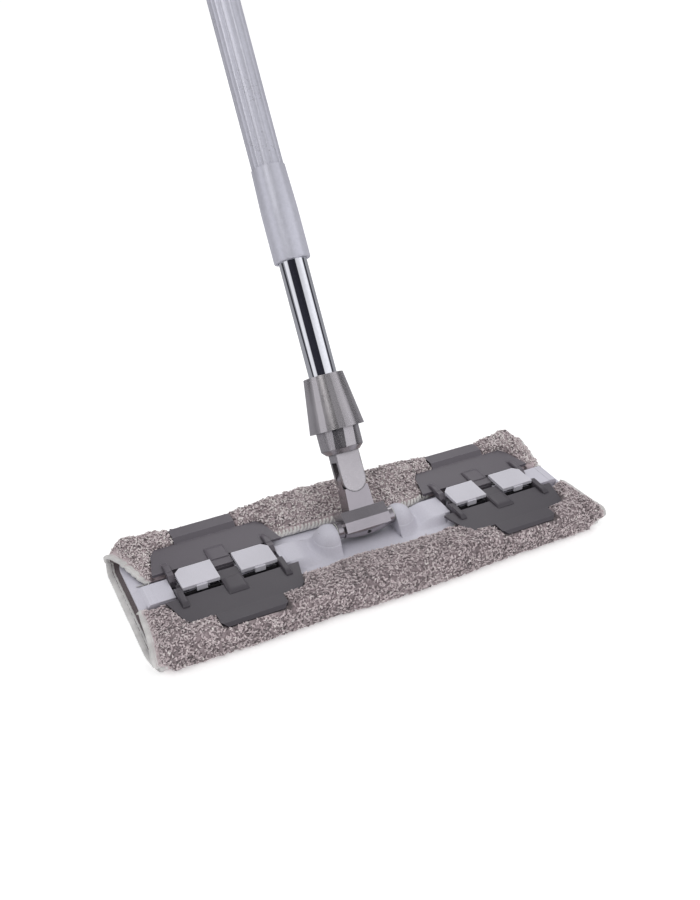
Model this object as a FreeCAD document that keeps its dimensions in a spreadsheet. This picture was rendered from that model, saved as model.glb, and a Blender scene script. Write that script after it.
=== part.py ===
import FreeCAD, Part
import math
import os
import re

import Sketcher
from FreeCAD import Placement, Rotation, Vector

# A flat mop: a wide head with a cloth folded round its base plate, two pairs of butterfly
# clamps that hold the cloth's flaps, a two-way joint, and a telescopic handle that leans back.
# Frame: the origin is on the floor under the middle of the head, X runs along the head, +Y is
# the side that the handle leans to, +Z is up. Millimetres and degrees.

os.makedirs("parts", exist_ok=True)
doc = FreeCAD.newDocument("flat_mop")

SIZES = {
    # the lean of the handle, and the fits used throughout
    "lean": 34, "pivot_height": 26.5, "neck_back": 4,
    "running": 0.05, "snug": 0.08, "gap": 0.3,
    "past": 1, "bite": 1, "far": 60,
    # cloth: one C-shaped solid round the plate
    "cloth_long": 420, "cloth_half": 70, "cloth_sole": 6, "cloth_round": 4, "flap_edge": 24,
    "flap_under": 13.3, "flap_top": 20, "roll_start": 50.5, "roll_crest": 57, "roll_top": 23.6,
    "roll_end": 64, "roll_shoulder": 18,
    # base plate
    "plate_long": 408, "plate_half": 61, "deck_top": 13, "deck_thick": 3.5, "plate_corner": 9,
    "rim_under": 6.3, "rim_wall": 3, "rim_inset": 4, "rim_setback": 1, "rib_count": 9,
    "spine_half": 12.5, "spine_top": 20, "spine_start": 62, "spine_ramp": 8, "spine_end": 198,
    "spine_chamfer": 2,
    # the pillow bosses that carry the axle
    "boss_at": 34, "boss_long": 15, "boss_deep": 16, "boss_tall": 21.5, "boss_sink": 0.5,
    "boss_face": 28, "axle_rad": 3, "axle_half": 43, "axle_end_room": 0.3,
    # clamps, in one pair's own frame: hinges and the wells cut for them
    "pair_at": 128, "hinge_out": 8, "hinge_up": 16.5, "hinge_rad": 1.5, "hinge_half": 49.5,
    "knuckle_rad": 3.6, "knuckle_trim": 0.2, "pin_end_room": 0.1, "well_under": 12.8,
    "side_play": 0.5, "finger_well_under": 18.6, "finger_well_half": 10,
    # wings: a tapered plate with a raised tongue
    "wing_in": 18.6, "wing_in_half": 57.2, "wing_side": 44.5, "wing_side_half": 50.5,
    "wing_out": 50.5, "wing_out_half": 46, "wing_under": 20.3, "wing_thick": 2.5,
    "tongue_half": 27.7, "tongue_out": 69.5, "tongue_corner": 4.5, "tongue_rise": 4.2,
    "tongue_ramp": 4, "tongue_foot": 1, "tongue_thin": 0.3, "lip_long": 3, "lip_drop": 2,
    # the wings' arms and the fingers under the press pads
    "arm_at": 44, "arm_wide": 5, "arm_top": 25.4, "arm_root": 12, "arm_shoulder": 3,
    "arm_crown": 1, "arm_nose": 3.4, "middle_wide": 17, "middle_top": 24.2, "middle_slope": 6,
    "middle_thick": 2.6, "middle_end_rear": 5, "middle_end_front": 2,
    "finger_start": 35.4, "finger_tip": 3, "finger_bend": 5, "finger_root": 7.6,
    "finger_top": 23.8, "finger_fall": 1.2, "finger_thick": 2.2, "finger_deep": 3.2,
    # press pads and their sockets
    "pad_at": 25.1, "pad_wide": 31.6, "pad_deep": 25.4, "pad_under": 24, "pad_thick": 3,
    "pad_cut": 5, "tab_wide": 9, "tab_deep": 1.7, "tab_drop": 2.6, "tab_step": 1,
    "stem_rad": 5, "stem_wall": 1.1, "stem_under": 17, "stem_roof": 1, "stem_play": 0.06,
    "socket_floor": 11.5,
    # springs on the hinge pins and under the press pads
    "spring_start": 10.2, "spring_end": 17, "spring_room": 0.4, "wing_coil_rad": 2.6,
    "pad_coil_rad": 3.2, "pad_coil_room": 0.2, "coil_wire": 0.8, "wing_coil_turns": 6,
    "pad_coil_turns": 5,
    # foot block and lower neck, along the handle's axis from the pivot
    "foot_half": 21, "hub_half": 27, "hub_rad": 7.5, "barrel_rad": 11, "barrel_long": 33,
    "band_low": -4.2, "band_high": 4.7, "slope_top": 13.9, "neck_front": -5, "neck_rear": 13,
    "neck_low_half": 12.1, "neck_half": 10.9, "neck_sink": 2, "shoulder": 32.5,
    "swivel_up": 39.5, "swivel_rad": 3, "blade_thick": 9, "blade_root": 12,
    "cheek_half": 11, "cheek_clear": 0.35, "cheek_thick": 3.7, "roof": 56.5,
    "pin_skin": 1.4, "pin_end": 0.2, "washer_thick": 0.6, "washer_gap": 0.2,
    "axle_washer_rad": 7, "swivel_washer_rad": 8, "swivel_washer_gap": 0.1,
    # the grub screw, low on the barrel's front and pointing at the axle
    "grub_dip": 47, "grub_rad": 2, "grub_long": 6.5, "grub_gap": 0.4, "grub_key_rad": 1.1,
    "grub_key_deep": 2,
    # upper neck: faceted ring, tube socket, collet and bell-shaped nut
    "ring_low": 63.8, "ring_mid": 67.9, "ring_top": 86, "ring_low_rad": 14.8, "ring_rad": 18.9,
    "ring_flare": 0.2, "ring_corner_rad": 19.5, "ring_sides": 12, "spigot_rad": 16.6,
    "spigot_top": 118, "socket_low": 74, "nut_low": 84.8, "nut_top": 132.9,
    "nut_low_rad": 24.5, "nut_top_rad": 17.8, "nut_wall": 2.2, "nut_lip": 3.5,
    "nut_sides": 9, "nut_corner": 1.055, "thread_relief": 0.9, "thread_run_out": 4,
    "thread_end": 5, "nut_mouth": 3.5, "nut_step": 0.8, "tube_room": 0.4,
    "collet_top": 128, "collet_lip": 1.6, "split_half": 1,
    # telescopic handle
    "inner_rad": 12.5, "inner_wall": 0.8, "inner_low": 74.2, "inner_top": 724.2,
    "outer_rad": 14.3, "outer_wall": 1, "outer_low": 262, "outer_top": 880,
    "collar_low": 236.3, "collar_taper": 280, "collar_top": 319.2, "collar_rad": 16.3,
    "collar_top_rad": 15.1, "collar_edge": 1, "collar_lip": 3, "collar_seat": 2,
    "collar_room": 0.8, "bush_inset": 4, "bush_top": 300, "guide_long": 30,
    "cap_rad": 15.4, "cap_plug": 25, "cap_shoulder": 892, "cap_round": 3.2,
    "eye_up": 907, "eye_half": 11, "eye_thick": 8, "eye_rad": 4.5, "eye_sink": 2,
}

sheet = doc.addObject("Spreadsheet::Sheet", "dims")
for line, (alias, value) in enumerate(SIZES.items(), start=1):
    sheet.set(f"A{line}", alias)
    sheet.set(f"B{line}", str(value))
    sheet.setAlias(f"B{line}", alias)
doc.recompute()

WORDS = re.compile(r"\b(" + "|".join(sorted(SIZES, key=len, reverse=True)) + r")\b")
NODES = []
PLANES = {
    "XY": Placement(),
    "XZ": Placement(Vector(), Rotation(Vector(1, 0, 0), 90)),
    "YZ": Placement(Vector(), Rotation(Vector(1, 1, 1), 120)),
}


def bound(text):
    """An expression over the sheet's aliases, as FreeCAD reads it."""
    return WORDS.sub(r"dims.\1", str(text))


def bind(thing, **values):
    for name, text in values.items():
        thing.setExpression(name.replace("__", "."), bound(text))
    return thing


def at(thing, x=0, y=0, z=0):
    return bind(thing, Placement__Base__x=x, Placement__Base__y=y, Placement__Base__z=z)


def box(name, x, y, z):
    """A box between (low, high) expressions on each axis."""
    made = doc.addObject("Part::Box", name)
    sizes = [f"({high}) - ({low})" for low, high in (x, y, z)]
    bind(made, Length=sizes[0], Width=sizes[1], Height=sizes[2])
    return at(made, x[0], y[0], z[0])


TURNS = {
    "x": Rotation(Vector(0, 1, 0), 90),
    "y": Rotation(Vector(1, 0, 0), -90),
    "z": Rotation(),
}


def rod(name, radius, along, low, high, x=0, y=0, z=0):
    """A cylinder along one axis, from low to high on it, centred at the other two."""
    made = doc.addObject("Part::Cylinder", name)
    made.Placement = Placement(Vector(), TURNS[along])
    bind(made, Radius=radius, Height=f"({high}) - ({low})")
    place = {"x": x, "y": y, "z": z, along: low}
    return at(made, **place)


SKETCH_START = 50


def outline(name, plane, corners):
    """A closed sketch with straight sides, each corner bound to two expressions. Its corners
    start out round a circle, and the constraints then carry them to their places."""
    sketch = doc.addObject("Sketcher::SketchObject", name)
    sketch.Placement = PLANES[plane]
    count = len(corners)
    ring = [Vector(math.cos(2 * math.pi * k / count), math.sin(2 * math.pi * k / count))
            for k in range(count)]
    for k in range(count):
        sketch.addGeometry(Part.LineSegment(ring[k] * SKETCH_START,
                                            ring[(k + 1) % count] * SKETCH_START))
    for k, (across, up) in enumerate(corners):
        sketch.addConstraint(Sketcher.Constraint("Coincident", k, 2, (k + 1) % count, 1))
        for kind, axis, text in (("DistanceX", -2, across), ("DistanceY", -1, up)):
            if str(text) == "0":
                sketch.addConstraint(Sketcher.Constraint("PointOnObject", k, 1, axis))
            else:
                fixed = sketch.addConstraint(Sketcher.Constraint(kind, -1, 1, k, 1, 1.0))
                sketch.setExpression(f"Constraints[{fixed}]", bound(text))
    return sketch


def prism(name, plane, corners, low, high):
    """An outline pushed along its plane's normal, from low to high."""
    made = doc.addObject("Part::Extrusion", name)
    made.Base = outline(name + "_outline", plane, corners)
    made.DirMode = "Normal"
    made.Solid = True
    flip = -1 if plane == "XZ" else 1
    ends = (low, high) if flip > 0 else (f"-({high})", f"-({low})")
    return bind(made, LengthFwd=ends[1], LengthRev=f"-({ends[0]})")


def turned(name, corners):
    """An outline of (radius, height) corners turned round the Z axis."""
    made = doc.addObject("Part::Revolution", name)
    made.Source = outline(name + "_outline", "XZ", corners)
    made.Axis = Vector(0, 0, 1)
    made.Angle = 360
    made.Solid = True
    return made


def fuse(name, *pieces):
    made = doc.addObject("Part::MultiFuse", name)
    made.Shapes = list(pieces)
    made.Refine = True
    return made


def common(name, *pieces):
    made = doc.addObject("Part::MultiCommon", name)
    made.Shapes = list(pieces)
    return made


def cut(name, base, *tools):
    made = doc.addObject("Part::Cut", name)
    made.Base = base
    made.Tool = tools[0] if len(tools) == 1 else fuse(name + "_tools", *tools)
    return made


def together(name, *pieces):
    """Several separate solids in one sub-part."""
    made = doc.addObject("Part::Compound", name)
    made.Links = list(pieces)
    return made


def node(label, made):
    made.Label = label
    NODES.append(made)
    return made


def on_handle(label, made):
    """A sub-part modelled along the handle's axis, leaned back about the pivot."""
    made.Placement = Placement(Vector(), Rotation(Vector(-1, 0, 0), SIZES["lean"]))
    bind(made, Placement__Base__z="pivot_height", Placement__Rotation__Angle="lean")
    return node(label, made)


def coil(name, radius, length, turns):
    """A round-wire coil along +Z from the origin; radius and turns are words of the sheet."""
    wire = SIZES["coil_wire"]
    pitch = (length - wire) / SIZES[turns]
    path = Part.makeHelix(pitch, pitch * SIZES[turns], SIZES[radius])
    path.translate(Vector(0, 0, wire / 2))
    start = path.Edges[0].valueAt(path.Edges[0].FirstParameter)
    heading = path.Edges[0].tangentAt(path.Edges[0].FirstParameter)
    section = Part.Wire(Part.makeCircle(wire / 2, start, heading))
    made = doc.addObject("Part::Feature", name)
    made.Shape = Part.Wire(path.Edges).makePipeShell([section], True, True)
    return made


# ---------------------------------------------------------------- base plate

UPRIGHT = 0.99


def make_base_plate():
    """Deck with a ribbed underside, the raised spine that holds the clamps, and the bosses."""
    half = "plate_long / 2"
    deck = doc.addObject("Part::Fillet", "deck_round")
    deck.Base = box("deck", (f"-{half}", half), ("-plate_half", "plate_half"),
                    ("deck_top - deck_thick", "deck_top"))
    doc.recompute()
    upright = [k for k, edge in enumerate(deck.Base.Shape.Edges, start=1)
               if abs(edge.tangentAt(edge.FirstParameter).z) > UPRIGHT]
    deck.Edges = [(k, SIZES["plate_corner"], SIZES["plate_corner"]) for k in upright]

    under = ("rim_under", "deck_top - deck_thick")
    end = f"({half} - rim_inset)"
    wall_out, wall_in = "plate_half - rim_setback", "plate_half - rim_setback - rim_wall"
    frame = [
        box("rim_front", (f"-{end}", end), (f"-({wall_out})", f"-({wall_in})"), under),
        box("rim_rear", (f"-{end}", end), (wall_in, wall_out), under),
        box("rib_long", (f"-{end}", end), ("-rim_wall / 2", "rim_wall / 2"), under),
    ]
    for k in range(SIZES["rib_count"]):
        place = f"-{end} + rim_wall / 2 + ({end} * 2 - rim_wall) * {k} / (rib_count - 1)"
        frame.append(box(f"rib_{k}", (f"{place} - rim_wall / 2", f"{place} + rim_wall / 2"),
                         (f"-({wall_out})", wall_out), under))

    raised = []
    wells = []
    for side, way in (("left", -1), ("right", 1)):
        ridge = [(f"{way} * spine_start", "deck_top - bite"),
                 (f"{way} * spine_end", "deck_top - bite"),
                 (f"{way} * spine_end", "spine_top - spine_chamfer"),
                 (f"{way} * (spine_end - spine_chamfer)", "spine_top"),
                 (f"{way} * (spine_start + spine_ramp)", "spine_top"),
                 (f"{way} * spine_start", "deck_top")]
        raised.append(prism(f"spine_{side}", "XZ", ridge, "-spine_half", "spine_half"))
        raised.append(make_boss(side, way))
        wells += clamp_wells(side, way)
    axle_bore = rod("axle_bore", "axle_rad + running", "x", "-axle_half - axle_end_room",
                    "boss_at + boss_long + past", z="pivot_height")
    return cut("plate_shape", fuse("plate_solid", deck, *frame, *raised), *wells, axle_bore)


def make_boss(side, way):
    """Half an egg standing on the deck, with a flat face towards the foot block."""
    dome = doc.addObject("Part::Ellipsoid", f"boss_{side}")
    bind(dome, Radius1="boss_tall", Radius2="boss_long", Radius3="boss_deep")
    dome.Angle1 = 0
    at(dome, x=f"{way} * boss_at", z="deck_top - boss_sink")
    between = box(f"boss_room_{side}", ("-boss_face", "boss_face"), ("-far", "far"), ("0", "far"))
    return cut(f"boss_cut_{side}", dome, between)


def in_order(way, near, far):
    """Two ends of a stretch on an axis, low one first, when way says which is nearer."""
    return (near, far) if way > 0 else (far, near)


def clamp_wells(side, way):
    """The hollows in one spine for the wings' knuckles and fingers, coils, pins and pad stems."""
    middle = f"{way} * pair_at"
    across = ("-spine_half - past", "spine_half + past")
    deep = ("well_under", "spine_top + past")
    wells = [box(f"middle_well_{side}", (f"{middle} - middle_wide / 2 - side_play",
                                         f"{middle} + middle_wide / 2 + side_play"), across, deep)]
    for out in (-1, 1):
        tag = f"{side}_{out + 1}"
        arm = f"({middle} + {out} * arm_at)"
        width = "(arm_wide / 2 + side_play)"
        wells.append(box(f"arm_well_{tag}", (f"{arm} - {width}", f"{arm} + {width}"), across, deep))
        reach = in_order(out, f"{middle} + {out} * (finger_start - side_play)", arm)
        wells.append(box(f"finger_well_{tag}", reach, ("-finger_well_half", "finger_well_half"),
                         ("finger_well_under", "spine_top + past")))
        wells.append(rod(f"stem_bore_{tag}", "stem_rad + stem_play", "z", "socket_floor",
                         "spine_top + past", x=f"{middle} + {out} * pad_at"))
        coil_ends = in_order(out, f"{middle} + {out} * (spring_start - spring_room)",
                             f"{middle} + {out} * (spring_end + spring_room)")
        coil_depth = in_order(out, f"{out} * (hinge_out - knuckle_rad)",
                              f"{out} * (spine_half + past)")
        wells.append(box(f"coil_well_{tag}", coil_ends, coil_depth, deep))
        pin_ends = in_order(way, f"{middle} - {way} * (hinge_half + pin_end_room)",
                            f"{way} * (spine_end + past)")
        wells.append(rod(f"hinge_bore_{tag}", "hinge_rad + running", "x", *pin_ends,
                         y=f"{out} * hinge_out", z="hinge_up"))
    return wells


def make_cloth():
    """The cloth as one plain solid: a pile sole, round both long edges, and a flap over each."""
    inside = "plate_half + gap"
    half = [("flap_edge", "flap_top"), ("roll_start", "flap_top"), ("roll_crest", "roll_top"),
            ("roll_end", "roll_top"), ("cloth_half", "roll_shoulder"), ("cloth_half", "cloth_round"),
            ("cloth_half - cloth_round", "0")]
    inner = [("flap_edge", "flap_under"), (inside, "flap_under"), (inside, "cloth_sole")]
    section = half + [(f"-({y})", z) for y, z in reversed(half)]
    section += [(f"-({y})", z) for y, z in inner] + list(reversed(inner))
    return prism("cloth", "YZ", section, "-cloth_long / 2", "cloth_long / 2")


# ---------------------------------------------------------------- clamps

def make_wing(name, inner_end):
    """One clamp wing, opening towards +Y of its own pair: a tapered plate with a raised tongue,
    and three arms that reach in to the hinge pin. inner_end is where its middle arm stops."""
    top = "(wing_under + wing_thick)"
    profile = [("wing_in", "wing_under"), ("wing_out - tongue_foot", "wing_under"),
               ("wing_out - tongue_foot + tongue_ramp", "wing_under + tongue_rise"),
               ("tongue_out", "wing_under + tongue_rise - tongue_thin"),
               ("tongue_out", f"{top} + tongue_rise - lip_drop"),
               ("tongue_out - lip_long", f"{top} + tongue_rise"),
               ("wing_out + tongue_ramp", f"{top} + tongue_rise"), ("wing_out", top),
               ("wing_in", top)]
    slab = prism(f"{name}_slab", "YZ", profile, "-wing_in_half", "wing_in_half")
    side = [("wing_in_half", "wing_in"), ("wing_side_half", "wing_side"),
            ("wing_out_half", "wing_out"), ("tongue_half", "wing_out"),
            ("tongue_half", "tongue_out - tongue_corner"),
            ("tongue_half - tongue_corner", "tongue_out")]
    plan = side + [(f"-({x})", y) for x, y in reversed(side)]
    body = common(f"{name}_plate", slab, prism(f"{name}_plan", "XY", plan, "0", "far"))

    nose = "hinge_out - knuckle_rad + knuckle_trim"
    root = [(nose, "hinge_up"), ("hinge_out + knuckle_rad - knuckle_trim", "hinge_up"),
            ("wing_in", "wing_under"), ("wing_in + arm_root", "wing_under"),
            ("wing_in + arm_root", top)]
    outer = root + [("wing_in - arm_shoulder", "arm_top"), ("hinge_out + arm_crown", "arm_top"),
                    (nose, "arm_top - arm_nose")]
    middle = root + [("wing_in + middle_slope", "middle_top"), (inner_end, "middle_top"),
                     (inner_end, "middle_top - middle_thick"), (nose, "middle_top - middle_thick")]
    finger = [("finger_tip", "finger_top - finger_thick"), ("finger_tip", "finger_top"),
              ("finger_bend", "finger_top - finger_fall"),
              ("finger_root", "finger_top - finger_thick"),
              ("finger_root", "finger_top - finger_deep"),
              ("finger_bend", "finger_top - finger_deep")]
    reach = ("-middle_wide / 2", "middle_wide / 2")
    pieces = [body, prism(f"{name}_middle", "YZ", middle, *reach),
              rod(f"{name}_middle_knuckle", "knuckle_rad", "x", *reach, y="hinge_out", z="hinge_up")]
    for out in (-1, 1):
        reach = (f"{out} * arm_at - arm_wide / 2", f"{out} * arm_at + arm_wide / 2")
        pieces.append(prism(f"{name}_arm_{out + 1}", "YZ", outer, *reach))
        pieces.append(rod(f"{name}_knuckle_{out + 1}", "knuckle_rad", "x", *reach,
                          y="hinge_out", z="hinge_up"))
        reach = in_order(out, f"{out} * finger_start", f"{out} * arm_at")
        pieces.append(prism(f"{name}_finger_{out + 1}", "YZ", finger, *reach))
    bore = rod(f"{name}_bore", "hinge_rad + running", "x", "-far", "far", y="hinge_out", z="hinge_up")
    return cut(f"{name}_shape", fuse(f"{name}_solid", *pieces), bore)


def make_pad(name, out):
    """One press pad in its pair's frame: a square with its outer rear corner cut, on a hollow
    stem. out is +1 where the outer corner is on the +X side."""
    half, deep = "pad_wide / 2", "pad_deep / 2"
    corners = [(f"-{half}", f"-{deep}"), (half, f"-{deep}"), (half, f"{deep} - pad_cut"),
               (f"{half} - pad_cut", deep), (f"-{half}", deep)]
    if out < 0:
        corners = [(f"-({x})", y) for x, y in reversed(corners)]
    top = prism(f"{name}_top", "XY", corners, "pad_under", "pad_under + pad_thick")
    tab = box(f"{name}_tab", ("-tab_wide / 2", "tab_wide / 2"), (f"-{deep} - tab_deep", f"-{deep}"),
              ("pad_under - tab_drop", "pad_under + pad_thick - tab_step"))
    stem = rod(f"{name}_stem", "stem_rad", "z", "stem_under", "pad_under + bite")
    hollow = rod(f"{name}_hollow", "stem_rad - stem_wall", "z", "stem_under - past",
                 "pad_under - stem_roof")
    return cut(f"{name}_shape", fuse(f"{name}_solid", top, tab, stem), hollow)


def make_clamps():
    """Two pairs of wings with their pins, springs and four press pads."""
    pins = []
    coils = []
    coil_long = SIZES["spring_end"] - SIZES["spring_start"] - SIZES["gap"]
    pad_coil_long = (SIZES["pad_under"] - SIZES["stem_roof"] - SIZES["socket_floor"]
                     - 2 * SIZES["pad_coil_room"])
    for side, way in (("left", -1), ("right", 1)):
        middle = f"{way} * pair_at"
        for place, row, turn in (("rear", 1, 0), ("front", -1, 180)):
            label = f"wing_{side}_{place}"
            wing = make_wing(label, f"middle_end_{place}")
            wing.Placement = Placement(Vector(), Rotation(Vector(0, 0, 1), turn))
            node(label, at(wing, x=middle))
            pins.append(rod(f"pin_{side}_{place}", "hinge_rad", "x", f"{middle} - hinge_half",
                            f"{middle} + hinge_half", y=f"{row} * hinge_out", z="hinge_up"))
            spring = coil(f"coil_{side}_{place}", "wing_coil_rad", coil_long, "wing_coil_turns")
            spring.Placement = Placement(Vector(), TURNS["x"])
            start = in_order(row, "spring_start", "-spring_end")[0]
            coils.append(at(spring, x=f"{middle} + {start}", y=f"{row} * hinge_out", z="hinge_up"))
        for out in (-1, 1):
            end = "outer" if out == way else "inner"
            across = f"{middle} + {out} * pad_at"
            pad = make_pad(f"press_pad_{side}_{end}", out)
            node(f"press_pad_{side}_{end}", at(pad, x=across))
            spring = coil(f"pad_coil_{side}_{end}", "pad_coil_rad", pad_coil_long, "pad_coil_turns")
            node(f"pad_spring_{side}_{end}", at(spring, x=across, z="socket_floor + pad_coil_room"))
    node("wing_hinge_pins", together("pins", *pins))
    node("wing_springs", together("coils", *coils))


# ---------------------------------------------------------------- two-way joint

def make_foot():
    """T-shaped foot: a barrel on the axle, a banded block, and a neck that ends in a blade."""
    ball = doc.addObject("Part::Ellipsoid", "barrel_round")
    bind(ball, Radius1="barrel_rad", Radius2="barrel_long", Radius3="barrel_rad")
    ball.Angle1 = -90
    wide = ("-foot_half", "foot_half")
    barrel = common("barrel", ball, box("barrel_limit", wide, ("-far", "far"), ("-far", "far")))
    hubs = rod("hubs", "hub_rad", "x", "-hub_half", "hub_half")
    block = [("-barrel_rad", "band_low"), ("-barrel_rad", "band_high"), ("neck_front", "slope_top"),
             ("neck_rear", "slope_top"), ("barrel_rad", "band_high"), ("barrel_rad", "band_low")]
    body = prism("foot_body", "YZ", block, *wide)
    sides = [("-neck_low_half", "slope_top - neck_sink"), ("neck_low_half", "slope_top - neck_sink"),
             ("neck_half", "shoulder"), ("-neck_half", "shoulder")]
    neck = prism("lower_neck", "XZ", sides, "neck_front", "neck_rear")
    cheek_room = rod("cheek_room", "cheek_half + cheek_clear", "y", "-far", "far", z="swivel_up")
    blade_sides = ("neck_back - blade_thick / 2", "neck_back + blade_thick / 2")
    blade = box("blade", ("-neck_half", "neck_half"), blade_sides,
                ("shoulder - blade_root", "swivel_up"))
    blade_end = rod("blade_end", "neck_half", "y", *blade_sides, z="swivel_up")
    solid = fuse("foot_solid", barrel, hubs, body, cut("shoulders", neck, cheek_room), blade,
                 blade_end)
    axle = rod("foot_bore", "axle_rad + running", "x", "-far", "far")
    swivel = rod("blade_bore", "swivel_rad + running", "y", "-far", "far", z="swivel_up")
    grub = doc.addObject("Part::Cylinder", "grub_hole")
    grub.Placement = GRUB_PLACE
    bind(grub, Radius="grub_rad + running", Height="barrel_rad * 2")
    return cut("foot_shape", solid, axle, swivel, grub)


def grub_place():
    dip = math.radians(SIZES["grub_dip"])
    heading = Vector(0, -math.cos(dip), -math.sin(dip))
    return Placement(heading * (SIZES["axle_rad"] + SIZES["grub_gap"]),
                     Rotation(Vector(0, 0, 1), heading))


GRUB_PLACE = grub_place()
HEXAGON = 6


def make_grub_screw():
    screw = doc.addObject("Part::Cylinder", "grub")
    screw.Placement = GRUB_PLACE
    bind(screw, Radius="grub_rad", Height="grub_long")
    key = doc.addObject("Part::Prism", "grub_key")
    key.Polygon = HEXAGON
    bind(key, Circumradius="grub_key_rad", Height="grub_long")
    lift = Vector(0, 0, SIZES["grub_long"] - SIZES["grub_key_deep"])
    key.Placement = GRUB_PLACE.multiply(Placement(lift, Rotation()))
    return cut("grub_shape", screw, key)


def make_upper_neck():
    """Fork with two round-ended cheeks, a faceted ring, and the socket for the tube."""
    depth = ("neck_front", "neck_rear")
    cheeks = box("cheeks", ("-cheek_half", "cheek_half"), depth, ("swivel_up", "ring_low + bite"))
    cheek_ends = rod("cheek_ends", "cheek_half", "y", *depth, z="swivel_up")
    slot = box("fork_slot", ("-far", "far"), ("neck_front + cheek_thick", "neck_rear - cheek_thick"),
               ("0", "roof"))
    fork = cut("fork", fuse("fork_solid", cheeks, cheek_ends), slot)
    facets = doc.addObject("Part::Prism", "ring_facets")
    bind(facets, Polygon="ring_sides", Circumradius="ring_corner_rad", Height="ring_top - ring_low")
    at(facets, y="neck_back", z="ring_low")
    ring = turned("ring_round", [("0", "ring_low"), ("ring_low_rad", "ring_low"),
                                 ("ring_rad", "ring_mid"), ("ring_rad + ring_flare", "ring_top"),
                                 ("0", "ring_top")])
    at(ring, y="neck_back")
    spigot = rod("spigot", "spigot_rad", "z", "ring_top - bite", "spigot_top", y="neck_back")
    bore = rod("tube_bore", "inner_rad + running", "z", "socket_low", "spigot_top + past",
               y="neck_back")
    pin = rod("pin_bore", "swivel_rad + running", "y", "neck_front + pin_skin", "neck_rear + past",
              z="swivel_up")
    solid = fuse("neck_solid", fork, common("ring", facets, ring), spigot)
    return cut("neck_shape", solid, bore, pin)


def make_skirt_nut():
    """Bell-shaped nut: a shell with soft facets outside and a threaded land inside."""
    shell = turned("nut_round", [("nut_low_rad", "nut_low"), ("nut_top_rad", "nut_top"),
                                 ("inner_rad + tube_room", "nut_top"),
                                 ("inner_rad + tube_room", "nut_top - nut_lip"),
                                 ("nut_top_rad - nut_wall + tube_room", "nut_top - nut_lip"),
                                 ("spigot_rad + thread_relief", "spigot_top - thread_run_out"),
                                 ("spigot_rad + snug", "spigot_top - thread_end"),
                                 ("spigot_rad + snug", "nut_low + thread_end"),
                                 ("nut_low_rad - nut_wall - nut_step", "nut_low + nut_mouth"),
                                 ("nut_low_rad - nut_wall", "nut_low")])
    loft = doc.addObject("Part::Loft", "nut_facets")
    rims = []
    for name in ("low", "top"):
        rim = doc.addObject("Part::RegularPolygon", f"nut_rim_{name}")
        bind(rim, Polygon="nut_sides", Circumradius=f"nut_{name}_rad * nut_corner")
        rims.append(at(rim, z=f"nut_{name}"))
    loft.Sections = rims
    loft.Solid = True
    loft.Ruled = True
    return common("nut_shape", shell, loft)


def tube(name, radius, wall, low, high):
    return cut(f"{name}_shape", rod(f"{name}_outside", radius, "z", low, high),
               rod(f"{name}_inside", f"{radius} - {wall}", "z", f"{low} - past", f"{high} + past"))


def on_tube(label, made):
    """A sub-part turned about the tube's own axis, which stands behind the pivot's axis."""
    made.Placement = Placement(Vector(), Rotation(Vector(-1, 0, 0), SIZES["lean"]))
    bind(made, Placement__Rotation__Angle="lean", Placement__Base__y="neck_back * cos(lean * 1 deg)",
         Placement__Base__z="pivot_height - neck_back * sin(lean * 1 deg)")
    return node(label, made)


# ---------------------------------------------------------------- handle

def split(name, made, low, high):
    """A ring with a slit through its wall on the +Y side."""
    slit = box(f"{name}_slit", ("-split_half", "split_half"), ("0", "far"), (low, high))
    return cut(f"{name}_shape", made, slit)


def make_collet():
    shape = turned("collet_round", [("inner_rad + running", "spigot_top + gap"),
                                    ("spigot_rad - gap", "spigot_top + gap"),
                                    ("inner_rad + collet_lip", "collet_top"),
                                    ("inner_rad + running", "collet_top")])
    return split("collet", shape, "spigot_top", "collet_top + past")


def make_clamp_bush():
    shape = turned("bush_round", [("inner_rad + snug", "collar_low + bush_inset"),
                                  ("outer_rad + gap", "collar_low + bush_inset"),
                                  ("outer_rad + gap", "outer_low - gap"),
                                  ("outer_rad - outer_wall - running", "outer_low - gap"),
                                  ("outer_rad - outer_wall - running", "bush_top"),
                                  ("inner_rad + snug", "bush_top")])
    return split("bush", shape, "collar_low", "bush_top + past")


def make_guide_bush():
    return turned("guide_round", [("inner_rad + running", "inner_top - guide_long"),
                                  ("outer_rad - outer_wall - snug", "inner_top - guide_long"),
                                  ("outer_rad - outer_wall - snug", "inner_top"),
                                  ("inner_rad + running", "inner_top")])


def make_collar():
    return turned("collar_shape", [("inner_rad + tube_room", "collar_low"),
                                   ("collar_rad - collar_edge / 2", "collar_low"),
                                   ("collar_rad", "collar_low + collar_edge"),
                                   ("collar_rad", "collar_taper"),
                                   ("collar_top_rad", "collar_top"),
                                   ("outer_rad + snug", "collar_top"),
                                   ("outer_rad + snug", "outer_low + collar_seat"),
                                   ("outer_rad + collar_room", "outer_low"),
                                   ("outer_rad + collar_room", "collar_low + collar_lip"),
                                   ("inner_rad + tube_room", "collar_low + collar_lip")])


def make_end_cap():
    plug = rod("cap_plug_rod", "outer_rad - outer_wall - running", "z", "outer_top - cap_plug",
               "outer_top + bite")
    head = turned("cap_head", [("0", "outer_top"), ("cap_rad", "outer_top"),
                               ("cap_rad", "cap_shoulder - cap_round"),
                               ("cap_rad - cap_round", "cap_shoulder"), ("0", "cap_shoulder")])
    thick = ("-eye_thick / 2", "eye_thick / 2")
    tab = box("eye_tab", thick, ("-eye_half", "eye_half"), ("cap_shoulder - eye_sink", "eye_up"))
    end = rod("eye_end", "eye_half", "x", *thick, z="eye_up")
    hole = rod("eye_hole", "eye_rad", "x", "-far", "far", z="eye_up")
    return cut("cap_shape", fuse("cap_solid", plug, head, tab, end), hole)


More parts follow.
